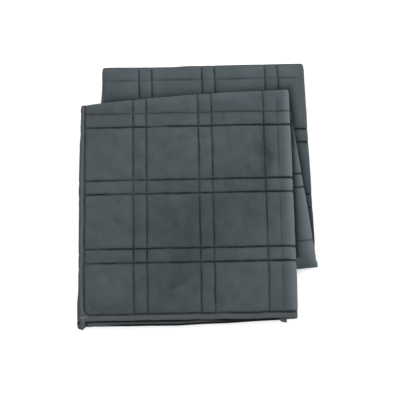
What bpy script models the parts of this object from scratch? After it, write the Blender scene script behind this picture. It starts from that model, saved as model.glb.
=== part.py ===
"""A weighted blanket, folded in three across its width, and then twice in half along its length.

The quilted cloth is one solid: a sheet that turns round its two side folds and then round three cross folds.
The binding is a second solid, a tape that runs all the way round the sheet's edge.
Metres, +Z up. The pile rests on Z = 0, with its origin under the middle of its outline. -Y is the front, where
the bound end of the top panel lies.

A point of the sheet is given by its distances from the blanket's corner, across and along, and its lift off the
sheet's middle towards the outer face. It is found in three steps:
  1. side_folds   its place in the folded strip: u across the strip, n above the strip's middle
  2. cross_folds  the strip bent into four panels: x, y, z
  3. settle       the soft unevenness of the pile
"""

import math

import bmesh
import bpy
from mathutils import Vector

# Quilting: pairs of seams, so that large squares alternate with narrow channels
ACROSS_FIRST = 0.1239      # left edge to the first seam
ACROSS_PITCH = 0.154       # one pair of seams to the next
ACROSS_GAP = 0.0312        # between the two seams of a pair
LOWER_FIRST = 0.0581       # right fold to the first seam of the ply at the bottom
ALONG_FIRST = 0.1303
ALONG_PITCH = 0.1591
ALONG_GAP = 0.0322
PUFF = 0.0025              # half thickness in a large square
CHANNEL_PUFF = 0.0020      # half thickness in a narrow channel
FOLD_PUFF = 0.0021         # half thickness round a fold
SEAM_PUFF = 0.0011         # half thickness at a seam
INNER_PUFF = 0.0020        # half thickness of the face that the folds hide
SHOULDER = 0.16            # share of a square taken by the slope beside each of its seams

# The folded strip: ply 1 on top, ply 3 tucked under it, ply 2 at the bottom
STRIP_WIDTH = 0.4865       # between the lines where the side folds start to turn
PLY_STEP = 0.0056          # middle of one ply to the middle of the next
TUCKED_WIDTH = 0.4720      # of ply 3
LEFT_FOLD_IN = 0.0050      # the left fold steps in by this much, so that ply 1 covers it
LEFT_FOLD_IN_SPAN = (0.40, 0.47)
LEFT_EASE = 0.085          # width beside the left fold that gives way to this step
REACH_LEFT = 0.0100        # how far plies 2 and 3 reach past ply 1 at the front, at the left
REACH_RIGHT = 0.0029
REACH_CORNER = 0.0075      # and further at the left corner
REACH_CORNER_WIDTH = 0.030
REACH_FADE = 0.40          # the reach fades out over this length of the strip

# The pile from the top: panels 1, 2, 4 and 3. Panel 4 is tucked between 2 and 3.
PANEL_STEP = 0.0172        # middle of one layer of the pile to the middle of the next
PANELS = 4
STRIP_LENGTH = 1.9195
FRONT_Y = -0.4808          # front end of panel 1, in the frame that the folds are given in
LEFT_X = -0.1239
RIGHT_U = STRIP_WIDTH + PLY_STEP + PUFF
CROSS_FOLDS = (
    # distance along the strip's right edge where the cloth starts to turn, skew in degrees, radius of the strip's
    # middle, and whether it turns down (-1) or up (1)
    {"at": 0.5213, "skew": 3.4, "radius": 0.5 * PANEL_STEP, "turn": -1},
    {"at": 0.9324, "skew": 3.4, "radius": 1.0 * PANEL_STEP, "turn": -1},
    {"at": 1.4414, "skew": 0.0, "radius": 0.5 * PANEL_STEP, "turn": 1},
)
FOLD_STEPS = 5             # facets in a half turn
# Cloth taken up by the wrinkles inside each cross fold, so that the seams past it lie closer
FOLD_EASE = (0.0300, 0.0435, 0.0300)

# Soft unevenness
SAG = 0.016                # droop of the top panel's front end, past the panels below
SAG_FROM = -0.370
BOW = 0.005                # the first cross fold bulges back in its middle
BOW_SPAN = (-0.005, 0.030)
LEAN = 0.0119              # sideways lean of the two lower panels, per metre
LEAN_FROM = -0.300
WAVE = 0.022               # share of the height by which the pile swells and sinks

# Binding
SIDE_TAPE = 0.0104         # width along the sides
END_TAPE = 0.0138          # width along the ends
TAPE_PUFF = 0.0019         # half thickness at its middle
TAPE_RIM = 0.0011          # half thickness at its rims
TAPE_RIM_SHARE = 0.22      # the rims' rounding, as a share of the width
GAP = 0.0003               # between the binding and the quilted cloth

CLOTH_COLOUR = (0.075, 0.105, 0.125, 1.0)
TAPE_COLOUR = (0.095, 0.125, 0.145, 1.0)

# The sheet's side folds, as distances across it
RIGHT_TURN = math.pi * PLY_STEP
LEFT_TURN = math.pi * PLY_STEP / 2.0
PLY_2 = STRIP_WIDTH + RIGHT_TURN
LEFT_FOLD = PLY_2 + STRIP_WIDTH
PLY_3 = LEFT_FOLD + LEFT_TURN
SHEET_WIDTH = PLY_3 + TUCKED_WIDTH


def smooth(low, high, value):
    """0 below low and 1 above high, with a soft step between."""
    share = min(1.0, max(0.0, (value - low) / (high - low)))
    return share * share * (3.0 - 2.0 * share)


def side_folds(a, s, lift):
    """u and n of the point at distance a across the sheet."""
    step_in = LEFT_FOLD_IN * smooth(*LEFT_FOLD_IN_SPAN, s)
    if a <= STRIP_WIDTH:
        return a, PLY_STEP + lift
    if a < PLY_2:
        turn = (a - STRIP_WIDTH) / PLY_STEP
        radius = PLY_STEP + lift
        return STRIP_WIDTH + radius * math.sin(turn), radius * math.cos(turn)
    if a <= LEFT_FOLD:
        u = LEFT_FOLD - a
        return u + step_in * max(0.0, 1.0 - u / LEFT_EASE), -PLY_STEP - lift
    if a < PLY_3:
        turn = (a - LEFT_FOLD) / (PLY_STEP / 2.0)
        radius = PLY_STEP / 2.0 + lift
        return step_in - radius * math.sin(turn), -PLY_STEP / 2.0 - radius * math.cos(turn)
    u = a - PLY_3
    return u + step_in * max(0.0, 1.0 - u / LEFT_EASE), lift


def front_reach(a, u, s):
    """How much further to the front plies 2 and 3 lie."""
    reach = REACH_LEFT + (REACH_RIGHT - REACH_LEFT) * smooth(0.0, STRIP_WIDTH, u)
    reach += REACH_CORNER * (1.0 - smooth(0.0, REACH_CORNER_WIDTH, u))
    return reach * smooth(STRIP_WIDTH, PLY_2, a) * max(0.0, 1.0 - s / REACH_FADE)


def fold_frames():
    """Each panel's place, as origin + u * across + s * along, with its height, its up side and its fold."""
    origin = Vector((LEFT_X, FRONT_Y))
    across = Vector((1.0, 0.0))
    along = Vector((0.0, 1.0))
    height = PLY_STEP + PUFF + (PANELS - 1) * PANEL_STEP
    side = 1.0
    frames = []
    for fold in CROSS_FOLDS:
        skew = math.radians(fold["skew"])
        facing = along * math.cos(skew) - across * math.sin(skew)
        point = origin + across * RIGHT_U + along * fold["at"]
        frame = {"origin": origin, "across": across, "along": along, "height": height, "side": side}
        frame.update(fold, facing=facing, point=point, length=math.pi * fold["radius"])
        frames.append(frame)
        origin = origin + facing * (frame["length"] - 2.0 * (origin - point).dot(facing))
        across = across - facing * (2.0 * across.dot(facing))
        along = along - facing * (2.0 * along.dot(facing))
        height += 2.0 * fold["radius"] * fold["turn"]
        side = -side
    frames.append({"origin": origin, "across": across, "along": along, "height": height, "side": side})
    return frames


FRAMES = fold_frames()


def cross_folds(u, s, n):
    """x, y, z of a point of the strip, and the number of the panel, or of the fold after it, that it is on."""
    for number, frame in enumerate(FRAMES):
        place = frame["origin"] + frame["across"] * u + frame["along"] * s
        past = (place - frame["point"]).dot(frame["facing"]) if "point" in frame else 0.0
        if past <= 0.0:
            return Vector((*place, frame["height"] + frame["side"] * n)), number
        if past < frame["length"]:
            turn, radius, way = past / frame["radius"], frame["radius"], frame["turn"]
            reach = radius * math.sin(turn) - frame["side"] * n * way * math.sin(turn)
            rise = way * radius * (1.0 - math.cos(turn)) + frame["side"] * n * math.cos(turn)
            foot = place + frame["facing"] * (reach - past)
            return Vector((*foot, frame["height"] + rise)), number


def settle(point, number):
    """The front end droops past the panels below, the folds lie unevenly and the pile swells here and there."""
    x, y, z = point
    if number == 0 and y < SAG_FROM:
        z -= SAG * ((SAG_FROM - y) / (SAG_FROM - FRONT_Y)) ** 2
    if number < 2:
        share = min(1.0, max(0.0, (x - LEFT_X) / RIGHT_U))
        y += BOW * math.sin(math.pi * share) * smooth(*BOW_SPAN, y)
    else:
        x -= LEAN * max(0.0, y - LEAN_FROM)
    swell = 0.5 * math.sin(9.0 * x + 0.8) * math.cos(7.0 * y - 0.4) + 0.5 * math.sin(5.0 * (x + y))
    return Vector((x, y, z * (1.0 + WAVE * swell)))


def sheet_point(a, row, lift):
    """A point of the sheet: a is its distance across, and row its distance along at the right edge, and slant."""
    at, slant = row
    s = at + slant * (side_folds(a, at, 0.0)[0] - RIGHT_U)
    u, n = side_folds(a, s, lift)
    return settle(*cross_folds(u, s - front_reach(a, u, s), n))


def station(at, puff, inside=False):
    """A column or row of the sheet: inside says that the hidden face, which is coarser, has it too."""
    return {"at": at, "puff": puff, "inside": inside, "slant": 0.0}


def quilt(seams, start=None, end=None):
    """Stations for a run of seams: a shoulder at each side of a square and a crown in each channel."""
    found = []
    for low, high in zip(seams, seams[1:]):
        found.append(station(low, SEAM_PUFF))
        if high - low > 2.0 * ALONG_GAP:
            rise = SHOULDER * (high - low)
            found.append(station(low + rise, PUFF))
            found.append(station(high - rise, PUFF))
        else:
            found.append(station((low + high) / 2.0, CHANNEL_PUFF, inside=True))
    found.append(station(seams[-1], SEAM_PUFF))
    before = [station(start, PUFF, inside=True)] if start is not None else []
    after = [station(end, PUFF, inside=True)] if end is not None else []
    return before + found + after


def pairs(first, pitch, gap, count):
    """The seams of a number of pairs."""
    return [first + pitch * pair + side for pair in range(count) for side in (0.0, gap)]


def columns():
    """Stations across the sheet, from its left edge to the edge that is tucked in."""
    border = SIDE_TAPE + GAP
    seams = pairs(ACROSS_FIRST, ACROSS_PITCH, ACROSS_GAP, 3)
    rise = SHOULDER * (ACROSS_PITCH - ACROSS_GAP)
    found = quilt([border] + seams, end=seams[-1] + rise)
    found[0]["inside"] = True
    found += [station(STRIP_WIDTH + RIGHT_TURN * step / 4.0, FOLD_PUFF, inside=True) for step in range(5)]
    lower = pairs(PLY_2 + LOWER_FIRST, ACROSS_PITCH, ACROSS_GAP, 3)
    found += quilt(lower, start=lower[0] - rise, end=lower[-1] + rise)
    found += [station(LEFT_FOLD + LEFT_TURN * step / 3.0, FOLD_PUFF, inside=True) for step in range(4)]
    found += [station(PLY_3 + TUCKED_WIDTH * share, INNER_PUFF, inside=True) for share in (0.16, 0.4, 0.64, 0.88)]
    found.append(station(SHEET_WIDTH - border, SEAM_PUFF, inside=True))
    return found


def along_seams(folds_passed, first, count):
    """Seams of a panel that lies past a number of cross folds, from the pair numbered first."""
    start = ALONG_FIRST + first * ALONG_PITCH - sum(FOLD_EASE[:folds_passed])
    return pairs(start, ALONG_PITCH, ALONG_GAP, count)


def fold_rows(frame, puffs):
    """Rows round a cross fold, all parallel to it."""
    skew = math.radians(frame["skew"])
    length = frame["length"] / math.cos(skew)
    found = []
    for step in range(FOLD_STEPS + 1):
        row = station(frame["at"] + length * step / FOLD_STEPS, puffs.get(step, FOLD_PUFF), inside=True)
        row["slant"] = math.tan(skew)
        found.append(row)
    return found


def rows():
    """Stations along the sheet. The rows beside a skewed fold turn towards it step by step."""
    border = END_TAPE + GAP
    rise = SHOULDER * (ALONG_PITCH - ALONG_GAP)
    seams = along_seams(0, 0, 3)
    found = [station(border, SEAM_PUFF, inside=True)]
    square = seams[0] - border
    found += [station(border + square * share, PUFF, inside=True) for share in (0.16, 0.39, 0.61, 0.84)]
    fold = fold_rows(FRAMES[0], {})
    found += quilt(seams, end=(seams[-1] + fold[0]["at"]) / 2.0)
    found[-1]["slant"] = fold[0]["slant"] / 2.0
    found += fold

    seams = along_seams(1, 3, 3)
    panel = quilt(seams, start=(fold[-1]["at"] + seams[0]) / 2.0)
    panel[0]["slant"] = fold[-1]["slant"] / 2.0
    fold = fold_rows(FRAMES[1], {})
    for row, share in zip(panel[-3:], (0.50, 0.75, 1.00)):
        row["slant"] = fold[0]["slant"] * share
    found += panel + fold

    seams = along_seams(2, 6, 3)
    panel = quilt(seams, start=(fold[-1]["at"] + seams[0]) / 2.0, end=seams[-1] + rise)
    panel[0]["slant"] = fold[-1]["slant"] / 2.0
    fold = fold_rows(FRAMES[2], {3: SEAM_PUFF})
    found += panel + [station(fold[0]["at"] - rise, PUFF)] + fold

    seams = along_seams(3, 9, 1)[1:] + along_seams(3, 10, 2) + [STRIP_LENGTH - border]
    found += quilt(seams, start=(fold[-1]["at"] + seams[0]) / 2.0)
    found[-1]["inside"] = True
    return found


def row_of(row):
    """A row's distance along at the right edge, and its slant."""
    return row["at"], row["slant"]


def new_object(name, points, faces, colour):
    """A closed mesh object with its own material."""
    mesh = bpy.data.meshes.new(name)
    form = bmesh.new()
    corners = [form.verts.new(point) for point in points]
    for face in faces:
        form.faces.new([corners[index] for index in face])
    bmesh.ops.recalc_face_normals(form, faces=form.faces)
    form.to_mesh(mesh)
    form.free()
    mesh.shade_smooth()
    thing = bpy.data.objects.new(name, mesh)
    bpy.context.scene.collection.objects.link(thing)
    material = bpy.data.materials.new(name)
    material.use_nodes = True
    shader = material.node_tree.nodes["Principled BSDF"]
    shader.inputs["Base Color"].default_value = colour
    shader.inputs["Roughness"].default_value = 0.85
    shader.inputs["Metallic"].default_value = 0.0
    mesh.materials.append(material)


def quilted_cloth():
    """Points and faces of the quilted sheet: its outer face, its coarser hidden face, and the rim between them."""
    across, along = columns(), rows()
    last_i, last_j = len(across) - 1, len(along) - 1
    points = []
    outer, inner = {}, {}
    for j, row in enumerate(along):
        for i, column in enumerate(across):
            outer[i, j] = len(points)
            points.append(sheet_point(column["at"], row_of(row), min(column["puff"], row["puff"])))
    for j, row in enumerate(along):
        for i, column in enumerate(across):
            on_rim = i in (0, last_i) or j in (0, last_j)
            if on_rim or (column["inside"] and row["inside"]):
                inner[i, j] = len(points)
                points.append(sheet_point(column["at"], row_of(row), -SEAM_PUFF if on_rim else -INNER_PUFF))
    faces = []
    for j in range(last_j):
        for i in range(last_i):
            faces.append([outer[i, j], outer[i + 1, j], outer[i + 1, j + 1], outer[i, j + 1]])
    kept_i = [i for i, column in enumerate(across) if column["inside"]]
    kept_j = [j for j, row in enumerate(along) if row["inside"]]
    for front, back in zip(kept_j, kept_j[1:]):
        for left, right in zip(kept_i, kept_i[1:]):
            # Once round the cell, with every point of the rim that it touches
            ring = [(i, front) for i in range(left, right)]
            ring += [(right, j) for j in range(front, back)]
            ring += [(i, back) for i in range(right, left, -1)]
            ring += [(left, j) for j in range(back, front, -1)]
            faces.append([inner[corner] for corner in ring if corner in inner])
    rim = [(i, 0) for i in range(last_i)]
    rim += [(last_i, j) for j in range(last_j)]
    rim += [(i, last_j) for i in range(last_i, 0, -1)]
    rim += [(0, j) for j in range(last_j, 0, -1)]
    for here, ahead in zip(rim, rim[1:] + rim[:1]):
        faces.append([outer[here], outer[ahead], inner[ahead], inner[here]])
    return points, faces


def tape_stations():
    """Inner and outer ends of the tape's section, as (a, row), all the way round the sheet."""
    across = [column["at"] for column in columns()]
    along = [row_of(row) for row in rows()]
    left, right = (SIDE_TAPE, 0.0), (SHEET_WIDTH - SIDE_TAPE, SHEET_WIDTH)
    front, back = (END_TAPE, 0.0), (STRIP_LENGTH - END_TAPE, STRIP_LENGTH)

    def corner(side, end):
        return (side[0], (end[0], 0.0)), (side[1], (end[1], 0.0))

    def end_run(middle, end):
        return [((a, (end[0], 0.0)), (a, (end[1], 0.0))) for a in middle]

    found = [corner(left, front)]
    found += end_run(across[1:-1], front)
    found.append(corner(right, front))
    found += [((right[0], row), (right[1], row)) for row in along[1:-1]]
    found.append(corner(right, back))
    found += end_run(across[-2:0:-1], back)
    found.append(corner(left, back))
    found += [((left[0], row), (left[1], row)) for row in along[-2:0:-1]]
    return found


def binding():
    """Points and faces of the tape: a rounded section carried round the sheet's edge."""
    section = (
        (0.0, TAPE_RIM),
        (TAPE_RIM_SHARE, TAPE_PUFF),
        (1.0 - TAPE_RIM_SHARE, TAPE_PUFF),
        (1.0, TAPE_RIM),
        (1.0, -TAPE_RIM),
        (1.0 - TAPE_RIM_SHARE, -TAPE_PUFF),
        (TAPE_RIM_SHARE, -TAPE_PUFF),
        (0.0, -TAPE_RIM),
    )
    points = []
    stations = tape_stations()
    for (inner_a, (inner_at, slant)), (outer_a, (outer_at, _)) in stations:
        for share, lift in section:
            a = inner_a + (outer_a - inner_a) * share
            at = inner_at + (outer_at - inner_at) * share
            points.append(sheet_point(a, (at, slant), lift))
    size = len(section)
    faces = []
    for number in range(len(stations)):
        here, ahead = number * size, (number + 1) % len(stations) * size
        for corner in range(size):
            after = (corner + 1) % size
            faces.append([here + corner, here + after, ahead + after, ahead + corner])
    return points, faces


def main():
    for thing in list(bpy.data.objects):
        bpy.data.objects.remove(thing)
    cloth_points, cloth_faces = quilted_cloth()
    tape_points, tape_faces = binding()
    together = cloth_points + tape_points
    low = Vector([min(point[axis] for point in together) for axis in range(3)])
    high = Vector([max(point[axis] for point in together) for axis in range(3)])
    origin = Vector(((low.x + high.x) / 2.0, (low.y + high.y) / 2.0, low.z))
    print("the pile's origin in the folds' frame:", [round(value, 5) for value in origin])
    new_object("quilted_blanket", [point - origin for point in cloth_points], cloth_faces, CLOTH_COLOUR)
    new_object("edge_binding", [point - origin for point in tape_points], tape_faces, TAPE_COLOUR)


main()
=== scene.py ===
import math

import bmesh
import bpy
from mathutils import Matrix, Vector, noise


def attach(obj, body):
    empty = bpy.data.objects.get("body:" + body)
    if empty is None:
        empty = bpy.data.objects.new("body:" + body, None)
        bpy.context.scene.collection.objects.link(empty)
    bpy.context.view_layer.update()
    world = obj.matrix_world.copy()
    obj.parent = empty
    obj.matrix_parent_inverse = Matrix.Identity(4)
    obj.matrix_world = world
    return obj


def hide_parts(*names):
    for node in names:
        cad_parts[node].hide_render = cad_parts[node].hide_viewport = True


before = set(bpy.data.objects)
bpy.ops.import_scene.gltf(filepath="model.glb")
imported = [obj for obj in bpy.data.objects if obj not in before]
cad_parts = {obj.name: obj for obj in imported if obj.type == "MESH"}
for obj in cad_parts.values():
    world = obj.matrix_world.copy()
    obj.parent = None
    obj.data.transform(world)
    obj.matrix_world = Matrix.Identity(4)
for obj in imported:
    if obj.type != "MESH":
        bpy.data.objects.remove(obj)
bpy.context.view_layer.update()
print("frame loaded")


# the blanket as it is cut and folded, in metres: a is a distance across the sheet, and s a distance along it
blanket = {
    "acrossFirst": 0.1239, "acrossPitch": 0.154, "acrossGap": 0.0312,  # pairs of seams across
    "lowerFirst": 0.0581,  # right fold to the first seam of the lower ply
    "alongFirst": 0.1303, "alongPitch": 0.1591, "alongGap": 0.0322,  # pairs of seams along
    "foldEase": (0.0300, 0.0435, 0.0300),  # cloth lost in the wrinkles inside each cross fold
    "stripWidth": 0.4865, "plyStep": 0.0056, "tuckedWidth": 0.4720, "stripLength": 1.9195,
    "leftEase": 0.085,  # the cloth beside the left fold gives way to its unevenness over this width
    "reachFade": 0.40,  # the lower plies' reach to the front fades out over this length
    "nubReach": 0.0070, "nubSpan": (0.452, 0.464),  # corner of the tucked ply that peeps out at the front
    "sideTape": 0.0104, "endTape": 0.0138, "tapeGap": 0.0002, "cornerRadius": 0.016,
    # how far seams and edges stray from their lines, and over what length
    "stray": ({"much": 0.0008, "length": 0.036}, {"much": 0.0006, "length": 0.011}),
    "straySpread": 9, "strayAside": 5.2, "strayAlong": 8.4,  # where in the noise they are drawn from
}
# how the folded strip lies in a pile
pile = {
    "panelStep": 0.0172, "panels": 4, "frontY": -0.4808, "leftX": -0.1239,
    "centre": (0.14622, -0.18424),  # the frame's origin, from the crossing that the folds are measured from
    "sag": 0.016, "sagFrom": -0.370,  # the top panel's front end droops
    "bow": 0.005, "bowSpan": (-0.005, 0.030),  # the first fold bulges back in its middle
    "lean": 0.0119, "leanFrom": -0.300,  # the lower panels lean sideways
    "wave": 0.022,  # share of the height by which the pile swells and sinks
    "wavesX": 9, "startX": 0.8, "wavesY": 7, "startY": -0.4, "wavesAslant": 5,
    "earOut": 0.0048, "earAt": 0.026, "earWidth": 0.010,  # the second fold's corner sticks out to the right
    "squareness": 0.35,  # how square the corners are where a side fold meets a cross fold
}
halfThickness = {"square": 0.0025, "channel": 0.0020, "fold": 0.0021, "seam": 0.0006, "inner": 0.0020}
# how unevenly the folds lie, as (distance, amount) along the sheet or across it
uneven = {
    "leftFoldIn": (
        (0.0, -0.0048), (0.05, -0.0026), (0.09, 0.0008), (0.26, 0.0008), (0.30, -0.0004), (0.40, 0.0010),
        (0.47, 0.0052), (1.44, 0.0034), (1.50, 0.0028), (1.56, -0.0010),
    ),
    "rightFoldOut": (
        (0.0, 0.0028), (0.30, 0.0018), (0.52, 0.0012), (0.95, 0.0034), (1.44, 0.0010), (1.92, 0.0032),
    ),
    "cornerOut": ((0.0, 0.0166), (0.0024, 0.0196), (0.0056, 0.0194), (0.0114, 0.0)),  # top ply, in front
    "lowerPliesOut": (
        (-0.0101, 0.0130), (-0.0048, 0.0182), (0.0, 0.0196), (0.003, 0.0184), (0.012, 0.0128),
        (0.036, 0.0126), (0.056, 0.0130), (0.15, 0.0134), (0.22, 0.0136), (0.29, 0.0114),
        (0.40, 0.0074), (0.45, 0.0042), (0.49, 0.0046),
    ),
    "middleFoldOut": ((0.0, 0.0), (0.43, 0.0), (0.455, 0.0034), (0.49, 0.0030)),
    "backFoldOut": ((0.0, 0.0042), (0.17, 0.0026), (0.21, 0.0044), (0.49, 0.0052)),
}

rightTurn = math.pi * blanket["plyStep"]
leftTurn = math.pi * blanket["plyStep"] / 2
plyTwo = blanket["stripWidth"] + rightTurn
leftFold = plyTwo + blanket["stripWidth"]
plyThree = leftFold + leftTurn
sheetWidth = plyThree + blanket["tuckedWidth"]
rightU = blanket["stripWidth"] + blanket["plyStep"] + halfThickness["square"]


def softStep(low, high, value):
    share = min(1.0, max(0.0, (value - low) / (high - low)))
    return share * share * (3 - 2 * share)


def alongTable(table, value):
    # a smooth run through the table's amounts
    for (low, first), (high, second) in zip(table, table[1:]):
        if value <= high:
            return first + (second - first) * softStep(low, high, value)
    return table[-1][1]


def sideFolds(a, s, lift):
    # u across the folded strip and n above its middle
    stepIn = alongTable(uneven["leftFoldIn"], s)
    step = blanket["plyStep"]
    if a <= blanket["stripWidth"]:
        return a, step + lift
    if a < plyTwo:
        turn = (a - blanket["stripWidth"]) / step
        out = alongTable(uneven["rightFoldOut"], s)
        return blanket["stripWidth"] + (step + lift + out) * math.sin(turn), (step + lift) * math.cos(turn)
    if a <= leftFold:
        u = leftFold - a
        return u + stepIn * max(0.0, 1 - u / blanket["leftEase"]), -step - lift
    if a < plyThree:
        turn = (a - leftFold) / (step / 2)
        return stepIn - (step / 2 + lift) * math.sin(turn), -step / 2 - (step / 2 + lift) * math.cos(turn)
    u = a - plyThree
    return u + stepIn * max(0.0, 1 - u / blanket["leftEase"]), lift


def frontReach(a, u, s):
    # the lower plies lie further to the front than the top one, whose left corner is pulled out to a tongue
    if a <= blanket["stripWidth"]:
        return alongTable(uneven["cornerOut"], a) * max(0.0, 1 - s / blanket["endTape"])
    reach = alongTable(uneven["lowerPliesOut"], u)
    if a > plyThree:
        reach += blanket["nubReach"] * softStep(*blanket["nubSpan"], a - plyThree)
    return reach * softStep(blanket["stripWidth"], plyTwo, a) * max(0.0, 1 - s / blanket["reachFade"])


def makeLegs():
    # each panel's place and height, its up side, and the fold that ends it
    folds = (
        {"at": 0.5213, "skew": 3.4, "radius": pile["panelStep"] / 2, "turn": -1},
        {"at": 0.9324, "skew": 3.4, "radius": pile["panelStep"], "turn": -1},
        {"at": 1.4414, "skew": 0.0, "radius": pile["panelStep"] / 2, "turn": 1},
    )
    origin, across, along = Vector((pile["leftX"], pile["frontY"])), Vector((1, 0)), Vector((0, 1))
    height = blanket["plyStep"] + halfThickness["square"] + (pile["panels"] - 1) * pile["panelStep"]
    side = 1
    legs = []
    for fold in folds:
        skew = math.radians(fold["skew"])
        facing = along * math.cos(skew) - across * math.sin(skew)
        point = origin + across * rightU + along * fold["at"]
        leg = {"origin": origin, "across": across, "along": along, "height": height, "side": side}
        leg.update(fold, facing=facing, point=point, length=math.pi * fold["radius"])
        leg["slant"] = math.tan(skew)
        leg["ends"] = fold["at"] + leg["length"] / math.cos(skew)
        legs.append(leg)
        origin = origin + facing * (leg["length"] - 2 * (origin - point).dot(facing))
        across = across - facing * (2 * across.dot(facing))
        along = along - facing * (2 * along.dot(facing))
        height += 2 * fold["radius"] * fold["turn"]
        side = -side
    legs.append({"origin": origin, "across": across, "along": along, "height": height, "side": side})
    return legs


legs = makeLegs()
foldTables = {1: "middleFoldOut", 2: "backFoldOut"}  # the fold after the top panel lies even


def crossFolds(u, s, n):
    for number, leg in enumerate(legs):
        place = leg["origin"] + leg["across"] * u + leg["along"] * s
        past = (place - leg["point"]).dot(leg["facing"]) if "point" in leg else 0.0
        if past <= 0:
            return place.x, place.y, leg["height"] + leg["side"] * n, number
        if past < leg["length"]:
            turn = past / leg["radius"]
            flat = n
            if u > blanket["stripWidth"] and n:
                arm = math.hypot(u - blanket["stripWidth"], n)
                flat = math.copysign(arm * (abs(n) / arm) ** pile["squareness"], n)
            out = alongTable(uneven[foldTables[number]], u) if number in foldTables else 0.0
            reach = (leg["radius"] + out - leg["side"] * flat * leg["turn"]) * math.sin(turn)
            rise = leg["turn"] * leg["radius"] * (1 - math.cos(turn)) + leg["side"] * n * math.cos(turn)
            if number == 1 and u > blanket["stripWidth"]:
                ear = min(1.0, (u - blanket["stripWidth"]) / (rightU - blanket["stripWidth"]))
                ear *= pile["earOut"] * math.exp(-(((past - pile["earAt"]) / pile["earWidth"]) ** 2))
                place = place + leg["across"] * ear
            foot = place + leg["facing"] * (reach - past)
            return foot.x, foot.y, leg["height"] + rise, number


def settle(x, y, z, number):
    # the front end droops past the panels below, the folds lie unevenly and the pile swells here and there
    if number == 0 and y < pile["sagFrom"]:
        z -= pile["sag"] * ((pile["sagFrom"] - y) / (pile["sagFrom"] - pile["frontY"])) ** 2
    if number < 2:
        share = min(1.0, max(0.0, (x - pile["leftX"]) / rightU))
        y += pile["bow"] * math.sin(math.pi * share) * softStep(*pile["bowSpan"], y)
    else:
        x -= pile["lean"] * max(0.0, y - pile["leanFrom"])
    swell = math.sin(pile["wavesX"] * x + pile["startX"]) * math.cos(pile["wavesY"] * y + pile["startY"])
    swell = 0.5 * swell + 0.5 * math.sin(pile["wavesAslant"] * (x + y))
    return Vector((x, y, z * (1 + pile["wave"] * swell)))


def sheetPoint(a, at, slant, lift):
    # seams and edges stray a little from their lines
    aside = along = 0.0
    spread = blanket["straySpread"]
    for stray in blanket["stray"]:
        much, length = stray["much"], stray["length"]
        aside += much * noise.noise(Vector((at / length, a * spread, blanket["strayAside"])))
        along += much * noise.noise(Vector((a / length, at * spread, blanket["strayAlong"])))
    a, at = a + aside, at + along
    s = at + slant * (sideFolds(a, at, 0)[0] - rightU)
    u, n = sideFolds(a, s, lift)
    return settle(*crossFolds(u, s - frontReach(a, u, s), n))


def roundCorner(a, s):
    # the tape's stitching turns the front left corner in a curve
    radius = blanket["cornerRadius"]
    x = (blanket["sideTape"] + radius - a) / radius
    y = (blanket["endTape"] + radius - s) / radius
    if x <= 0 or y <= 0:
        return a, s
    inX, inY = x * math.sqrt(1 - min(1.0, y) ** 2 / 2), y * math.sqrt(1 - min(1.0, x) ** 2 / 2)
    return a + (x - inX) * radius, s + (y - inY) * radius


# how full the cells are and how the cloth is drawn together at the seams
quilting = {
    "steep": 0.0018, "gentle": 0.0090, "steepShare": 0.52,  # how fast the cloth rises beside a seam
    "faintShare": 0.35,  # what is left of the groove of a seam that doesn't show
    "crown": 0.0030, "channelCrown": 0.0015,  # extra height in the middle of a cell that nothing lies on
    "puckerDepth": 0.00065, "puckerLength": 0.011, "puckerReach": 0.012,
    "puckerHidden": 0.3,  # what is left of them out of sight
    "puckerSpread": 12, "puckerAcross": 3.1, "puckerAlong": 7.7,  # where in the noise they are drawn from
    "rollDepth": 0.0014, "rollLength": 0.075, "rollFrom": 0.3,
    "lumpDepth": 0.0014, "lumpLength": 0.028, "lumpFrom": 1.9, "lumpStretch": 0.7,
    "clear": (0.003, 0.018),  # the crown grows over this distance from what lies on top
    "foldFade": 0.02,  # the rolls and lumps fade out beside a side fold
    "bulge": 0.0022, "bulgeSpan": (0.002, 0.024),  # cloth that swells up beside the panel on top of it
    # painted shade on a panel beside the one on top of it: where it starts and how fast it fades
    "shadeFrom": 0.007, "shadeReach": {1: 0.0065, 3: 0.012},
    "highlightPast": 0.006, "highlightReach": 0.0105,  # painted highlight on the right folds, this far into the turn
    "inkAcross": 0.0020, "inkAlong": 0.0021,  # half widths of the seams' dark lines
    # seams that hardly show: the top panel's, counted from its left and front, and then the other panels'
    "faintAcross": {5: 0.04}, "faintAlong": {5: 0.38},
    "faintBehind": 0.08, "faintLow": (0.42, 0.10),
    "inkSides": (0.70, 1.25),  # the seams along the top panel are darkened less at its left than at its right
    # painted shade along the creases, for each metre of their depth
    "creaseShade": 200,
}


# stations are the lines of the mesh: close together beside a seam and round a fold, wider out of sight
meshing = {
    "beside": (0.0012, 0.0032, 0.0065), "nearMost": 1 / 2.2,  # lines beside a seam, short of half way
    "fine": 0.0054, "plain": 0.0115, "hidden": 0.030, "tucked": 0.060,
    "rightTurn": 0.0016, "leftTurn": 0.0012, "crossTurn": 0.0030,
    "byLeftFold": 0.0045, "byLeftFoldWidth": 0.045,
    "innerEvery": 5,  # the hidden face has every fifth line
}


def domeAt(share, seamLow, seamHigh):
    # a round rise beside a seam, and a slow one beside a fold
    low = min(1.0, 2 * share)
    high = min(1.0, 2 * (1 - share))
    rising = math.sqrt(low * (2 - low)) if seamLow else softStep(0, 1, low)
    falling = math.sqrt(high * (2 - high)) if seamHigh else softStep(0, 1, high)
    return rising * falling


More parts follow.
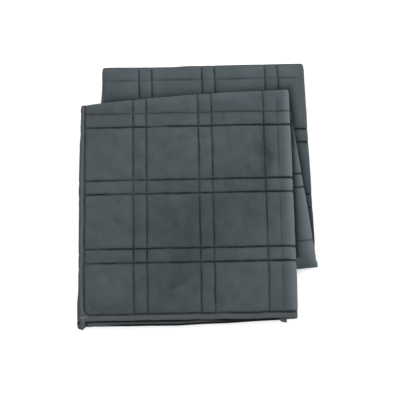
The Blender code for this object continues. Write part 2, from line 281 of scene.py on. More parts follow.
def makeStations(keys):
    # keys run from low to high; each says what lies between it and the next
    stations = []
    for low, high in zip(keys, keys[1:]):
        length = high["at"] - low["at"]
        near = [step for step in meshing["beside"] if step < length * meshing["nearMost"]]
        before = near if low["seam"] else []
        after = near if high["seam"] else []
        start, end = (before or [0])[-1], length - (after or [0])[-1]
        count = max(1, math.ceil((end - start) / low["step"]))
        steps = [0] + before + [start + (end - start) * k / count for k in range(1, count)]
        steps += [length - step for step in reversed(after)] if after else []
        for step in steps:
            share = step / length
            toSeam = min(step if low["seam"] else 1, length - step if high["seam"] else 1)
            nearest = low if step < length / 2 else high
            puffLow = low["puff"] if low["puff"] is not None else halfThickness[low["cell"]]
            puffHigh = high["puff"] if high["puff"] is not None else halfThickness[low["cell"]]
            stations.append({
                "at": low["at"] + step, "slant": low["slant"] + (high["slant"] - low["slant"]) * share,
                "ink": nearest["ink"], "toSeam": toSeam, "puff": puffLow + (puffHigh - puffLow) * share,
                "dome": 0.0 if low["cell"] == "fold" else domeAt(share, low["seam"], high["seam"]),
                "square": low["cell"] == "square", "turning": low["cell"] == "fold",
            })
    last = {name: keys[-1][name] for name in ("at", "slant", "ink")}
    stations.append(dict(stations[-1], **last, toSeam=0, dome=0.0))
    for number, station in enumerate(stations):
        station["inside"] = station["turning"] or number % meshing["innerEvery"] == 0
    stations[-1]["inside"] = True
    return stations


def key(at, cell, step, seam=True, slant=0.0, puff=None):
    return {"at": at, "cell": cell, "step": step, "seam": seam, "slant": slant, "puff": puff, "ink": 1.0}


def seamKeys(first, pitch, gap, count, step):
    keys = []
    for pair in range(count):
        keys += [key(first + pitch * pair, "channel", step), key(first + pitch * pair + gap, "square", step)]
    return keys


def makeColumns():
    border = blanket["sideTape"] + blanket["tapeGap"]
    foldPuff = halfThickness["fold"]
    pitch, gap = blanket["acrossPitch"], blanket["acrossGap"]
    keys = [key(border, "square", meshing["fine"])]
    keys += seamKeys(blanket["acrossFirst"], pitch, gap, 3, meshing["fine"])
    for number, share in quilting["faintAcross"].items():
        keys[number + 1]["ink"] = share
    keys.append(key(blanket["stripWidth"], "fold", meshing["rightTurn"], seam=False, puff=foldPuff))
    keys.append(key(plyTwo, "square", meshing["fine"], seam=False, puff=foldPuff))
    keys += seamKeys(plyTwo + blanket["lowerFirst"], pitch, gap, 3, meshing["plain"])
    keys[-1]["step"] = meshing["byLeftFold"]
    keys.append(key(leftFold, "fold", meshing["leftTurn"], seam=False, puff=foldPuff))
    keys.append(key(plyThree, "inner", meshing["byLeftFold"], seam=False, puff=foldPuff))
    keys.append(key(plyThree + meshing["byLeftFoldWidth"], "inner", meshing["tucked"], seam=False))
    keys.append(key(sheetWidth - border, "inner", meshing["tucked"]))
    return makeStations(keys)


def alongSeams(foldsPassed, first, count, step):
    start = blanket["alongFirst"] + first * blanket["alongPitch"] - sum(blanket["foldEase"][:foldsPassed])
    return seamKeys(start, blanket["alongPitch"], blanket["alongGap"], count, step)


def makeRows():
    border = blanket["endTape"] + blanket["tapeGap"]
    foldPuff = halfThickness["fold"]
    fine, plain, hidden = meshing["fine"], meshing["plain"], meshing["hidden"]
    second = alongSeams(1, 3, 3, plain)
    for place, share in zip(second[-2:], (0.5, 1.0)):
        place["slant"] = legs[1]["slant"] * share
    for place, share in zip(second[-2:], quilting["faintLow"]):
        place["ink"] = share
    third = alongSeams(2, 6, 3, hidden)
    inFold, *fourth = alongSeams(3, 9, 3, plain)  # the first of these seams lies in the last fold
    fourth[0]["ink"] = quilting["faintBehind"]
    keys = [key(border, "square", fine)] + alongSeams(0, 0, 3, fine)
    for number, share in quilting["faintAlong"].items():
        keys[number + 1]["ink"] = share
    for leg, panel in zip(legs, (second, third, fourth)):
        turn, after = meshing["crossTurn"], hidden if panel is third else plain
        keys.append(key(leg["at"], "fold", turn, seam=False, slant=leg["slant"], puff=foldPuff))
        if leg["at"] < inFold["at"] < leg["ends"]:
            keys.append(key(inFold["at"], "fold", turn, puff=foldPuff))
        keys.append(key(leg["ends"], "square", after, seam=False, slant=leg["slant"], puff=foldPuff))
        keys += panel
    keys.append(key(blanket["stripLength"] - border, "square", plain))
    return makeStations(keys)


columns, rows = makeColumns(), makeRows()
print("stations", len(columns), "across and", len(rows), "along")


# main creases of the top panel, listed: ends as (a, s), how deep and how wide
creaseStrength = 2.2  # all of them are deepened by this
creases = (
    {"ends": ((0.345, 0.452), (0.352, 0.376)), "depth": 0.0012, "width": 0.006},
    {"ends": ((0.378, 0.447), (0.371, 0.392)), "depth": 0.0010, "width": 0.006},
    {"ends": ((0.405, 0.445), (0.408, 0.345)), "depth": 0.0010, "width": 0.007},
    {"ends": ((0.340, 0.340), (0.432, 0.412)), "depth": 0.0009, "width": 0.008},
    {"ends": ((0.334, 0.482), (0.337, 0.455)), "depth": 0.0014, "width": 0.003},
    {"ends": ((0.276, 0.428), (0.292, 0.414)), "depth": 0.0012, "width": 0.005},
    {"ends": ((0.440, 0.398), (0.458, 0.392)), "depth": 0.0012, "width": 0.004},
    {"ends": ((0.178, 0.052), (0.262, 0.106)), "depth": 0.0011, "width": 0.007},
    {"ends": ((0.050, 0.122), (0.082, 0.088)), "depth": 0.0004, "width": 0.010},
    {"ends": ((0.028, 0.040), (0.031, 0.020)), "depth": 0.0010, "width": 0.004},
    {"ends": ((0.062, 0.034), (0.066, 0.018)), "depth": 0.0012, "width": 0.004},
    {"ends": ((0.128, 0.098), (0.150, 0.094)), "depth": 0.0010, "width": 0.004},
    {"ends": ((0.345, 0.030), (0.352, 0.056)), "depth": 0.0011, "width": 0.004},
    {"ends": ((0.195, 0.345), (0.236, 0.430)), "depth": 0.0008, "width": 0.009},
    {"ends": ((0.060, 0.250), (0.105, 0.206)), "depth": 0.0008, "width": 0.008},
    {"ends": ((0.329, 0.478), (0.330, 0.452)), "depth": 0.0012, "width": 0.0025},
    {"ends": ((0.376, 0.458), (0.410, 0.455)), "depth": 0.0020, "width": 0.004},
    {"ends": ((0.372, 0.323), (0.374, 0.302)), "depth": 0.0012, "width": 0.003},
    {"ends": ((0.387, 0.324), (0.385, 0.306)), "depth": 0.0011, "width": 0.003},
    {"ends": ((0.335, 0.321), (0.337, 0.301)), "depth": 0.0010, "width": 0.003},
    {"ends": ((0.361, 0.440), (0.364, 0.388)), "depth": 0.0010, "width": 0.005},
    {"ends": ((0.388, 0.356), (0.386, 0.330)), "depth": 0.0011, "width": 0.004},
    {"ends": ((0.428, 0.440), (0.436, 0.330)), "depth": 0.0014, "width": 0.009},
    {"ends": ((0.300, 0.060), (0.330, 0.022)), "depth": 0.0009, "width": 0.006},
    {"ends": ((0.390, 0.250), (0.412, 0.190)), "depth": 0.0009, "width": 0.009},
    {"ends": ((0.075, 0.440), (0.082, 0.400)), "depth": 0.0009, "width": 0.006},
    {"ends": ((0.150, 0.180), (0.235, 0.210)), "depth": 0.0008, "width": 0.010},
)
# where the top panel is darker, or paler with a minus: (a, s), reaches across and along, how much; the one at
# (0.433, 0.368) is painted shade in the channel beside the right fold
wornPlaces = (
    {"at": (0.105, 0.130), "reach": (0.030, 0.022), "much": 0.30},
    {"at": (0.056, 0.060), "reach": (0.040, 0.050), "much": -0.30},
    {"at": (0.220, 0.167), "reach": (0.130, 0.130), "much": 0.62},
    {"at": (0.360, 0.247), "reach": (0.110, 0.110), "much": 0.50},
    {"at": (0.290, 0.467), "reach": (0.130, 0.110), "much": 0.20},
    {"at": (0.240, 0.500), "reach": (0.300, 0.020), "much": 0.20},
    {"at": (0.070, 0.030), "reach": (0.060, 0.016), "much": 0.30},
    {"at": (0.433, 0.368), "reach": (0.015, 0.062), "much": 0.95},
    {"at": (0.240, 0.250), "reach": (3.0, 3.0), "much": 0.10},
)
wornFade = 0.012  # the darkening fades out beside the folds


def wornNap(a, s):
    if a > blanket["stripWidth"] or s > legs[0]["at"]:
        return 0.0
    worn = 0.0
    for place in wornPlaces:
        aside = (a - place["at"][0]) / place["reach"][0]
        along = (s - place["at"][1]) / place["reach"][1]
        worn += place["much"] * math.exp(-aside ** 2 - along ** 2)
    edge = softStep(0, wornFade, blanket["stripWidth"] - a) * softStep(0, wornFade, legs[0]["at"] - s)
    return min(1.0, worn) * edge


def creaseDepth(a, s):
    depth = 0.0
    for crease in creases:
        (startA, startS), (endA, endS) = crease["ends"]
        runA, runS = endA - startA, endS - startS
        share = ((a - startA) * runA + (s - startS) * runS) / (runA ** 2 + runS ** 2)
        share = min(1.0, max(0.0, share))
        away = math.hypot(a - startA - runA * share, s - startS - runS * share) / crease["width"]
        if away < 3:  # further off it is as good as flat
            depth += crease["depth"] * math.exp(-away ** 2) * (1 - (2 * share - 1) ** 4)
    return depth


def distanceOut(a, row):
    # how far a point of an upper face lies out from under the panels above: far on the top one, None inside
    s = row["at"]
    if s < legs[0]["ends"]:
        return 1.0 if a <= plyTwo and s < legs[0]["at"] else None
    number = 1 if s < legs[1]["ends"] else 3 if s > legs[2]["ends"] else 2
    if number == 2 or not blanket["stripWidth"] < a < leftFold or (number == 1 and s > legs[1]["at"]):
        return None
    u = sideFolds(a, s, 0)[0]
    leg = legs[number]
    place = leg["origin"] + leg["across"] * u + leg["along"] * (s + row["slant"] * (u - rightU))
    aside = (place - legs[0]["origin"]).dot(legs[0]["across"]) - rightU
    if number == 3:
        aside = min(aside, (place - legs[1]["origin"]).dot(legs[1]["across"]) - rightU)
        past = (place - legs[0]["point"]).dot(legs[0]["facing"]) - legs[0]["radius"] - blanket["plyStep"]
        aside = max(aside, past)
    return aside


def pressedNap(a, row):
    # painted shade where a panel lies on another, and at the front of the lower plies
    aside = distanceOut(a, row)
    pressed = 0.0
    if aside is not None and aside < 1.0:
        reach = quilting["shadeReach"][1 if row["at"] < legs[1]["ends"] else 3]
        pressed = math.exp(-max(0.0, aside - quilting["shadeFrom"]) / reach)
    return max(pressed, frontShade(a, row["at"]))


# the front edge of the two lower plies, which the top one shades: all but a strip lies in the dark
frontEdge = {
    "lobe": 0.0105, "lobeLine": 0.0014,  # the corner at the left stays light, with a dark line beside it
    "lobeFade": (0.0085, 0.0115),
    "under": (0.0076, 0.0094), "rim": (0.0046, 0.0060),  # where the strip ends, from the outer rim
    "rimFrom": (0.045, 0.070), "darkFrom": (0.265, 0.310), "darkTo": (0.455, 0.460),
    "reach": 0.04, "turnLeft": 0.004,  # the shade starts this much before the right fold's turn ends
}


def frontShade(a, s):
    if a < plyTwo - frontEdge["turnLeft"] or s > frontEdge["reach"]:
        return 0.0
    u = sideFolds(a, s, 0)[0]
    under = softStep(*frontEdge["under"], s)
    rim = (1 - softStep(*frontEdge["rim"], s)) * softStep(*frontEdge["rimFrom"], u)
    rim = max(rim, softStep(*frontEdge["darkFrom"], u)) * (1 - softStep(*frontEdge["darkTo"], u))
    shade = max(under, rim)
    beside = math.exp(-(((u - frontEdge["lobe"]) / frontEdge["lobeLine"]) ** 2))
    return max(shade * softStep(*frontEdge["lobeFade"], u), beside)


def outerLift(column, row):
    a, s = column["at"], row["at"]
    faint, hidden = quilting["faintShare"], quilting["puckerHidden"]
    rise = 1.0
    for line in (column, row):
        dip = quilting["steepShare"] * math.exp(-line["toSeam"] / quilting["steep"])
        dip += (1 - quilting["steepShare"]) * math.exp(-line["toSeam"] / quilting["gentle"])
        rise *= 1 - dip * (faint + (1 - faint) * line["ink"])
    lift = halfThickness["seam"] + (min(column["puff"], row["puff"]) - halfThickness["seam"]) * rise
    length, reach, spread = quilting["puckerLength"], quilting["puckerReach"], quilting["puckerSpread"]
    across = noise.noise(Vector((s / length, a * spread, quilting["puckerAcross"])))
    along = noise.noise(Vector((a / length, s * spread, quilting["puckerAlong"])))
    pucker = across * math.exp(-column["toSeam"] / reach) + along * math.exp(-row["toSeam"] / reach)
    aside = distanceOut(a, row)
    shown = 0.0 if aside is None else softStep(*quilting["clear"], aside)
    lift += quilting["puckerDepth"] * pucker * rise * (hidden + (1 - hidden) * shown)
    if shown:
        edge = softStep(0, quilting["foldFade"], abs(blanket["stripWidth"] - a))
        rolls = noise.noise(Vector((a, s, quilting["rollFrom"])) / quilting["rollLength"])
        stretched = Vector((a, quilting["lumpStretch"] * s, quilting["lumpFrom"]))
        lumps = noise.noise(stretched / quilting["lumpLength"])
        lift += (quilting["rollDepth"] * rolls + quilting["lumpDepth"] * lumps) * rise * edge * shown
        lift -= creaseStrength * creaseDepth(a, s) * rise
        crown = quilting["crown"] if column["square"] and row["square"] else quilting["channelCrown"]
        lift += crown * column["dome"] * row["dome"] * shown
        if a > plyTwo:
            swell = softStep(*quilting["bulgeSpan"], aside) * softStep(0, quilting["foldFade"], a - plyTwo)
            lift += quilting["bulge"] * swell * rise
    return lift


def fillMesh(name, points, faces, values):
    # values hold one number for each point and attribute
    mesh = bpy.data.meshes.new(name)
    mesh.from_pydata(points, [], faces)
    mesh.validate()
    form = bmesh.new()
    form.from_mesh(mesh)
    bmesh.ops.recalc_face_normals(form, faces=form.faces)
    form.to_mesh(mesh)
    form.free()
    mesh.shade_smooth()
    for label, numbers in values.items():
        mesh.attributes.new(label, "FLOAT", "POINT").data.foreach_set("value", numbers)
    piece = bpy.data.objects.new(name, mesh)
    bpy.context.scene.collection.objects.link(piece)
    return piece


def setUv(piece, places):
    layer = piece.data.uv_layers.new(name="clothMap")
    for loop in piece.data.loops:
        layer.data[loop.index].uv = places[loop.vertex_index]


def makeCloth(origin):
    lastColumn, lastRow = len(columns) - 1, len(rows) - 1
    points, places, outer, inner = [], [], {}, {}
    seamAcross, seamAlong, pressed, brushed, worn = [], [], [], [], []

    def add(column, row, lift, shown):
        points.append(sheetPoint(*roundCorner(column["at"], row["at"]), row["slant"], lift) - origin)
        places.append((column["at"], row["at"]))
        # dark seam lines: thread colour, and painted shade in the seams' grooves
        seamAcross.append(column["ink"] * math.exp(-((column["toSeam"] / quilting["inkAcross"]) ** 2)))
        low, high = quilting["inkSides"]
        drawn = low + (high - low) * min(1.0, column["at"] / blanket["stripWidth"])
        seamAlong.append(drawn * row["ink"] * math.exp(-((row["toSeam"] / quilting["inkAlong"]) ** 2)))
        # painted shade where panels lie on each other and at the front of the lower plies
        pressed.append(pressedNap(column["at"], row) if shown else 0.0)
        # painted highlight along the right folds, where they turn towards the light
        past = column["at"] - blanket["stripWidth"]
        if row["at"] > legs[0]["ends"]:
            past = plyTwo - column["at"]  # the second panel turns its other face up
        fold = (past - quilting["highlightPast"]) / quilting["highlightReach"]
        brushed.append(math.exp(-fold ** 2) if shown and row["at"] < legs[1]["ends"] else 0.0)
        # painted shade along the creases adds to the darker patches
        onTop = column["at"] < blanket["stripWidth"]
        shadeInCrease = quilting["creaseShade"] * creaseDepth(column["at"], row["at"]) if onTop else 0.0
        worn.append(min(1.0, wornNap(column["at"], row["at"]) + shadeInCrease) if shown else 0.0)
        return len(points) - 1

    for j, row in enumerate(rows):
        for i, column in enumerate(columns):
            outer[i, j] = add(column, row, outerLift(column, row), True)
            onRim = i in (0, lastColumn) or j in (0, lastRow)
            if onRim or (column["inside"] and row["inside"]):
                lift = halfThickness["seam"] if onRim else halfThickness["inner"]
                inner[i, j] = add(column, row, -lift, False)
    faces = []
    for j in range(lastRow):
        for i in range(lastColumn):
            faces.append((outer[i, j], outer[i + 1, j], outer[i + 1, j + 1], outer[i, j + 1]))
    keptColumns = [i for i, column in enumerate(columns) if column["inside"]]
    keptRows = [j for j, row in enumerate(rows) if row["inside"]]
    for front, back in zip(keptRows, keptRows[1:]):
        for left, right in zip(keptColumns, keptColumns[1:]):
            ring = [(i, front) for i in range(left, right)] + [(right, j) for j in range(front, back)]
            ring += [(i, back) for i in range(right, left, -1)] + [(left, j) for j in range(back, front, -1)]
            faces.append([inner[corner] for corner in ring if corner in inner])
    rim = [(i, 0) for i in range(lastColumn)] + [(lastColumn, j) for j in range(lastRow)]
    rim += [(i, lastRow) for i in range(lastColumn, 0, -1)] + [(0, j) for j in range(lastRow, 0, -1)]
    for here, ahead in zip(rim, rim[1:] + rim[:1]):
        faces.append((outer[here], outer[ahead], inner[ahead], inner[here]))
    values = {"seamAcross": seamAcross, "seamAlong": seamAlong}
    values.update(pressed=pressed, brushed=brushed, worn=worn)
    cloth = fillMesh("quiltedCloth", points, faces, values)
    setUv(cloth, places)
    return cloth


# the tape sewn round the edge
tape = {
    # its section: how far out, from the inner rim to the outer one, and half its thickness there
    "section": (
        (0.0, 0.0010), (0.07, 0.0017), (0.26, 0.0020), (0.37, 0.0020), (0.49, 0.0020), (0.60, 0.0020),
        (0.70, 0.0020), (0.93, 0.0017), (1.0, 0.0010),
    ),
    "fan": 6,  # more stations round the front left corner
    "stitched": (0.04, 0.20),  # the line of stitching lies between these shares of the section
}


def makeTape(origin):
    length = blanket["stripLength"]
    left, right = (blanket["sideTape"], 0.0), (sheetWidth - blanket["sideTape"], sheetWidth)
    front, back = (blanket["endTape"], 0.0), (length - blanket["endTape"], length)
    across, along = columns[1:-1], rows[1:-1]
    fan = [number / tape["fan"] for number in range(1, tape["fan"])]
    gap = blanket["tapeGap"]
    stations = [(left, front, 0.0)]
    stations += [((left[0] + gap * share, left[0] * share), front, 0.0) for share in fan]
    stations += [((column["at"], column["at"]), front, 0.0) for column in across]
    stations += [(right, front, 0.0)]
    stations += [(right, (row["at"], row["at"]), row["slant"]) for row in along]
    stations += [(right, back, 0.0)]
    stations += [((column["at"], column["at"]), back, 0.0) for column in reversed(across)]
    stations += [(left, back, 0.0)]
    stations += [(left, (row["at"], row["at"]), row["slant"]) for row in reversed(along)]
    stations += [(left, (front[0] + gap * share, front[0] * share), 0.0) for share in reversed(fan)]
    loop = [(share, lift) for share, lift in tape["section"]]
    loop += [(share, -lift) for share, lift in reversed(tape["section"])]
    points, places, faces, pressed = [], [], [], []
    for a, at, slant in stations:
        inA, inAt = roundCorner(a[0], at[0])
        for share, lift in loop:
            hereA, hereAt = inA + (a[1] - inA) * share, inAt + (at[1] - inAt) * share
            points.append(sheetPoint(hereA, hereAt, slant, lift) - origin)
            places.append((hereA, hereAt))
            # painted shade at the front of the lower plies
            pressed.append(frontShade(hereA, hereAt))
    size = len(loop)
    for number in range(len(stations)):
        here, ahead = number * size, (number + 1) % len(stations) * size
        for corner in range(size):
            after = (corner + 1) % size
            faces.append((here + corner, here + after, ahead + after, ahead + corner))
    low, high = tape["stitched"]
    stitched = [float(low < share < high) for _ in stations for share, _ in loop]
    values = {"stitchLine": stitched, "pressed": pressed}
    binding = fillMesh("boundTape", points, faces, values)
    setUv(binding, places)
    return binding


pileCentre = Vector((*pile["centre"], 0.0))
quiltedCloth = makeCloth(pileCentre)
print("cloth made", len(quiltedCloth.data.polygons), "faces")
boundTape = makeTape(pileCentre)
print("tape made", len(boundTape.data.polygons), "faces")


def addNode(tree, kind, **settings):
    node = tree.nodes.new(kind)
    for name, value in settings.items():
        if hasattr(node, name):
            setattr(node, name, value)
        else:
            node.inputs[name].default_value = value
    return node


def feed(tree, socket, value):
    # a socket takes a number, a colour or another node's output
    if isinstance(value, (int, float, tuple)):
        socket.default_value = value
    else:
        tree.links.new(value, socket)


def calc(tree, operation, *values):
    node = addNode(tree, "ShaderNodeMath", operation=operation)
    for socket, value in zip(node.inputs, values):
        feed(tree, socket, value)
    return node.outputs[0]


def mixColour(tree, share, first, second):
    node = addNode(tree, "ShaderNodeMix", data_type="RGBA")
    for socket, value in ((node.inputs[0], share), (node.inputs[6], first), (node.inputs[7], second)):
        feed(tree, socket, value)
    return node.outputs[2]


def noiseOn(tree, coordinates, kind):
    mapping = addNode(tree, "ShaderNodeMapping")
    mapping.inputs["Scale"].default_value = kind.get("stretch", (1, 1, 1))
    feed(tree, mapping.inputs["Vector"], coordinates)
    settings = {"Scale": kind["scale"], "Detail": kind["detail"], "Roughness": kind["rough"]}
    node = addNode(tree, "ShaderNodeTexNoise", **settings)
    feed(tree, node.inputs["Vector"], mapping.outputs[0])
    return node.outputs["Fac"]


def attributeOf(tree, name):
    return addNode(tree, "ShaderNodeAttribute", attribute_name=name).outputs["Fac"]


def addBump(tree, shader, height, bump):
    node = addNode(tree, "ShaderNodeBump", Strength=bump["strength"], Distance=bump["distance"])
    feed(tree, node.inputs["Height"], height)
    feed(tree, shader.inputs["Normal"], node.outputs[0])


def startFinish(name, finish):
    # a soft finish with its even values on the shader's own sockets, and the cloth's two sets of coordinates
    material = bpy.data.materials.new(name)
    material.use_nodes = True
    tree = material.node_tree
    shader = tree.nodes["Principled BSDF"]
    shader.inputs["Roughness"].default_value = finish["roughness"]
    shader.inputs["Sheen Weight"].default_value = finish["sheen"]
    shader.inputs["Sheen Roughness"].default_value = finish["sheenRoughness"]
    shader.inputs["Sheen Tint"].default_value = finish["sheenTint"]
    shader.inputs["Specular IOR Level"].default_value = finish["gloss"]
    place = addNode(tree, "ShaderNodeTexCoord").outputs["Object"]
    split = addNode(tree, "ShaderNodeSeparateXYZ")
    feed(tree, split.inputs[0], addNode(tree, "ShaderNodeUVMap", uv_map="clothMap").outputs[0])
    return material, tree, shader, place, split.outputs["X"], split.outputs["Y"]


microfibre = {
    "deep": (0.0252, 0.0327, 0.0373, 1), "light": (0.0552, 0.0684, 0.0742, 1),
    # seam lines: thread colour and painted shade in their grooves
    "threadAndShade": (0.004, 0.006, 0.008, 1),
    "shadeColour": (0.006, 0.009, 0.011, 1), "shadeShare": 0.95,  # painted shade where panels lie on each other and at the front of the lower plies
    # a painted highlight along the right folds
    "brushed": (0.088, 0.104, 0.112, 1), "brushedShare": 0.85,
    "roughness": 0.86, "gloss": 0.12,
    "sheen": 0.07, "sheenRoughness": 0.45, "sheenTint": (0.80, 0.86, 0.90, 1),
    "cloud": {"scale": 9, "detail": 2.0, "rough": 0.5, "share": 0.7},
    "patch": {"scale": 38, "detail": 3.0, "rough": 0.6, "share": 0.8},
    "nap": {"scale": 260, "detail": 4.0, "rough": 0.65, "stretch": (1, 0.35, 1), "share": 0.25},
    "grain": {"scale": 1900, "detail": 2.0, "rough": 0.6},
    "tone": -0.065, "wornShare": 0.667,
    "ink": {"scale": 24, "detail": 3.0, "rough": 0.6, "gain": 2.2, "tone": -0.02, "most": 0.97},
    "acrossShare": 0.66,  # the seams across get less painted shade than those along, as the light falls
    "stitch": 0.0032, "stitchHalf": 0.36, "stitchWidth": 0.55,
    "bump": {"strength": 0.35, "distance": 0.0004, "grain": 0.25, "nap": 0.5, "stitch": 0.8},
}


def makeMicrofibre():
    material, tree, shader, place, acrossCloth, alongCloth = startFinish("slateMicrofibre", microfibre)
    nap = noiseOn(tree, place, microfibre["nap"])
    shade = calc(tree, "MULTIPLY_ADD", nap, microfibre["nap"]["share"], microfibre["tone"])
    for layer in (microfibre["cloud"], microfibre["patch"]):
        shade = calc(tree, "MULTIPLY_ADD", noiseOn(tree, place, layer), layer["share"], shade)
    # darker patches, with painted shade along the creases and in the channel beside the right fold
    worn = calc(tree, "MULTIPLY", attributeOf(tree, "worn"), microfibre["wornShare"])
    shade = calc(tree, "MAXIMUM", calc(tree, "SUBTRACT", shade, worn), 0.0)
    base = mixColour(tree, shade, microfibre["deep"], microfibre["light"])
    # painted highlight along the right folds
    brushed = calc(tree, "MULTIPLY", attributeOf(tree, "brushed"), microfibre["brushedShare"])
    base = mixColour(tree, brushed, base, microfibre["brushed"])
    # painted shade where panels lie on each other and at the front of the lower plies
    pressed = calc(tree, "MULTIPLY", attributeOf(tree, "pressed"), microfibre["shadeShare"])
    base = mixColour(tree, pressed, base, microfibre["shadeColour"])

    # stitches run along each seam as short dashes
    across, along = attributeOf(tree, "seamAcross"), attributeOf(tree, "seamAlong")
    dashes = []
    for line, run in ((across, alongCloth), (along, acrossCloth)):
        phase = calc(tree, "FRACT", calc(tree, "DIVIDE", run, microfibre["stitch"]))
        fromMiddle = calc(tree, "ABSOLUTE", calc(tree, "SUBTRACT", phase, 0.5))
        dash = calc(tree, "LESS_THAN", fromMiddle, microfibre["stitchHalf"])
        onLine = calc(tree, "GREATER_THAN", line, microfibre["stitchWidth"])
        dashes.append(calc(tree, "MULTIPLY", dash, onLine))
    stitch = calc(tree, "MAXIMUM", *dashes)

    # dark seam lines, thread colour and painted shade in their grooves, drawn unevenly
    seam = calc(tree, "MAXIMUM", calc(tree, "MULTIPLY", across, microfibre["acrossShare"]), along)
    drawn = microfibre["ink"]
    ink = calc(tree, "MULTIPLY_ADD", noiseOn(tree, place, drawn), drawn["gain"], drawn["tone"])
    ink = calc(tree, "MINIMUM", calc(tree, "MULTIPLY", seam, ink), drawn["most"])
    feed(tree, shader.inputs["Base Color"], mixColour(tree, ink, base, microfibre["threadAndShade"]))

    bump = microfibre["bump"]
    height = calc(tree, "MULTIPLY", noiseOn(tree, place, microfibre["grain"]), bump["grain"])
    height = calc(tree, "MULTIPLY_ADD", nap, bump["nap"], height)
    height = calc(tree, "MULTIPLY_ADD", stitch, bump["stitch"], height)
    addBump(tree, shader, height, bump)
    return material


tapeFinish = {
    "deep": (0.050, 0.057, 0.061, 1), "light": (0.070, 0.078, 0.082, 1), "threadAndShade": (0.007, 0.010, 0.012, 1),
    "pale": (0.150, 0.160, 0.165, 1), "dark": (0.002, 0.003, 0.004, 1), "darkShare": 0.97,
    "roughness": 0.78, "gloss": 0.12,
    "sheen": 0.06, "sheenRoughness": 0.4, "sheenTint": (0.80, 0.86, 0.90, 1),
    "cloud": {"scale": 30, "detail": 3.0, "rough": 0.5},
    "drawn": {"scale": 90, "detail": 2.0, "rough": 0.6, "gain": 1.8, "tone": 0.05, "most": 0.97},
    "rib": 0.0011,  # a fine twill: ribs that run slantwise over the tape
    # a thin pale line across the tape at the front left corner, which runs slightly aslant
    "paleLine": {"at": 0.0126, "slope": 0.166, "until": 0.0187, "half": 0.0007, "share": 0.8},
    "nook": {"at": 0.0176, "half": 0.0020, "gain": 2.0, "most": 0.95},  # the shade beside the corner's tongue
    "bump": {"strength": 0.25, "distance": 0.0003, "rib": 0.5},
}


def makeTapeFinish():
    material, tree, shader, place, acrossCloth, alongCloth = startFinish("slateTape", tapeFinish)
    cloud = noiseOn(tree, place, tapeFinish["cloud"])
    colour = mixColour(tree, cloud, tapeFinish["deep"], tapeFinish["light"])
    # painted shade at the front of the lower plies
    pressed = calc(tree, "MULTIPLY", attributeOf(tree, "pressed"), tapeFinish["darkShare"])
    colour = mixColour(tree, pressed, colour, tapeFinish["dark"])

    # a dark stitch line along the tape's inner rim: thread colour and painted shade in the joint
    threadAndShade = tapeFinish["drawn"]
    drawn = calc(tree, "MULTIPLY_ADD", noiseOn(tree, place, threadAndShade), threadAndShade["gain"], threadAndShade["tone"])
    drawn = calc(tree, "MULTIPLY", attributeOf(tree, "stitchLine"), drawn)
    colour = mixColour(tree, calc(tree, "MINIMUM", drawn, threadAndShade["most"]), colour, tapeFinish["threadAndShade"])

    nook = tapeFinish["nook"]
    shade = calc(tree, "ABSOLUTE", calc(tree, "SUBTRACT", acrossCloth, plyThree + nook["at"]))
    shade = calc(tree, "SUBTRACT", 1.0, calc(tree, "DIVIDE", shade, nook["half"]))
    shade = calc(tree, "MULTIPLY", calc(tree, "MAXIMUM", shade, 0.0), nook["gain"])
    colour = mixColour(tree, calc(tree, "MINIMUM", shade, nook["most"]), colour, tapeFinish["dark"])

    paleLine = tapeFinish["paleLine"]
    fromLine = calc(tree, "MULTIPLY_ADD", acrossCloth, paleLine["slope"], -paleLine["at"])
    fromLine = calc(tree, "ABSOLUTE", calc(tree, "ADD", alongCloth, fromLine))
    onPaleLine = calc(tree, "LESS_THAN", fromLine, paleLine["half"])
    onPaleLine = calc(tree, "MULTIPLY", onPaleLine, calc(tree, "LESS_THAN", acrossCloth, paleLine["until"]))
    colour = mixColour(tree, calc(tree, "MULTIPLY", onPaleLine, paleLine["share"]), colour, tapeFinish["pale"])
    feed(tree, shader.inputs["Base Color"], colour)

    bump = tapeFinish["bump"]
    rib = calc(tree, "ADD", acrossCloth, alongCloth)
    rib = calc(tree, "SINE", calc(tree, "MULTIPLY", rib, 2 * math.pi / tapeFinish["rib"]))
    addBump(tree, shader, calc(tree, "MULTIPLY_ADD", rib, bump["rib"], cloud), bump)
    return material


quiltedCloth.data.materials.append(makeMicrofibre())
boundTape.data.materials.append(makeTapeFinish())
for piece, node in ((quiltedCloth, "quilted_blanket"), (boundTape, "edge_binding")):
    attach(piece, "root")
    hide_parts(node)
print("finishes set")


studio = {
    "floor": 8.0, "floorColour": (0.93, 0.93, 0.93, 1), "floorRoughness": 0.9,
    "worldColour": (1.0, 1.0, 1.0, 1), "worldStrength": 0.45,
    # a wide soft light overhead, one at the back right for the blanket alone, and one for the floor alone
    "lights": (
        {"place": (0.0, 0.1, 2.5), "size": 2.4, "power": 62, "lights": "all"},
        {"place": (2.0, 1.6, 1.4), "size": 1.2, "power": 64, "lights": "blanket"},
        {"place": (0.0, 0.0, 3.0), "size": 3.0, "power": 40, "lights": "floor"},
    ),
}


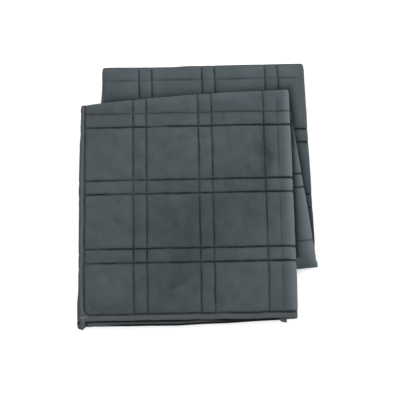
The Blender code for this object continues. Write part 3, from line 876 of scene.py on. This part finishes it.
def makeStudio():
    bpy.ops.object.select_all(action="DESELECT")
    bpy.ops.mesh.primitive_plane_add(size=studio["floor"], location=(0, 0, 0))
    floor = bpy.context.active_object
    floor.name = "paleFloor"
    material = bpy.data.materials.new("paleFloor")
    material.use_nodes = True
    shader = material.node_tree.nodes["Principled BSDF"]
    shader.inputs["Base Color"].default_value = studio["floorColour"]
    shader.inputs["Roughness"].default_value = studio["floorRoughness"]
    floor.data.materials.append(material)
    world = bpy.data.worlds.new("softSky")
    world.use_nodes = True
    background = world.node_tree.nodes["Background"]
    background.inputs["Color"].default_value = studio["worldColour"]
    background.inputs["Strength"].default_value = studio["worldStrength"]
    bpy.context.scene.world = world
    lit = {"blanket": bpy.data.collections.new("litBlanket"), "floor": bpy.data.collections.new("litFloor")}
    for piece in (quiltedCloth, boundTape):
        lit["blanket"].objects.link(piece)
    lit["floor"].objects.link(floor)
    for number, light in enumerate(studio["lights"]):
        bpy.ops.object.light_add(type="AREA", location=light["place"])
        lamp = bpy.context.active_object
        lamp.name = f"softLight{number}"
        lamp.data.size = light["size"]
        lamp.data.energy = light["power"]
        if light["lights"] in lit:
            lamp.light_linking.receiver_collection = lit[light["lights"]]
        if light["lights"] == "floor":
            lamp.light_linking.blocker_collection = lit["floor"]  # the blanket casts no shadow from it
        toBlanket = -Vector(light["place"])
        lamp.rotation_euler = toBlanket.to_track_quat("-Z", "Y").to_euler()


# the camera, fitted to the crossings of the top panel's seams
view = {
    "place": (0.0107, -0.1950, 1.3414), "tilt": 7.637, "pan": 0.10, "roll": -1.118,
    "lens": 50.0, "sensor": 36.0,
}


def makeCamera():
    bpy.ops.object.camera_add(location=view["place"])
    camera = bpy.context.active_object
    matrix = Matrix.Translation(view["place"])
    for name, axis in (("tilt", "X"), ("pan", "Y"), ("roll", "Z")):
        matrix = matrix @ Matrix.Rotation(math.radians(view[name]), 4, axis)
    camera.matrix_world = matrix
    camera.data.lens = view["lens"]
    camera.data.sensor_width = view["sensor"]
    bpy.context.scene.camera = camera


makeStudio()
makeCamera()
bpy.context.scene.view_settings.view_transform = "Standard"
print("studio set")
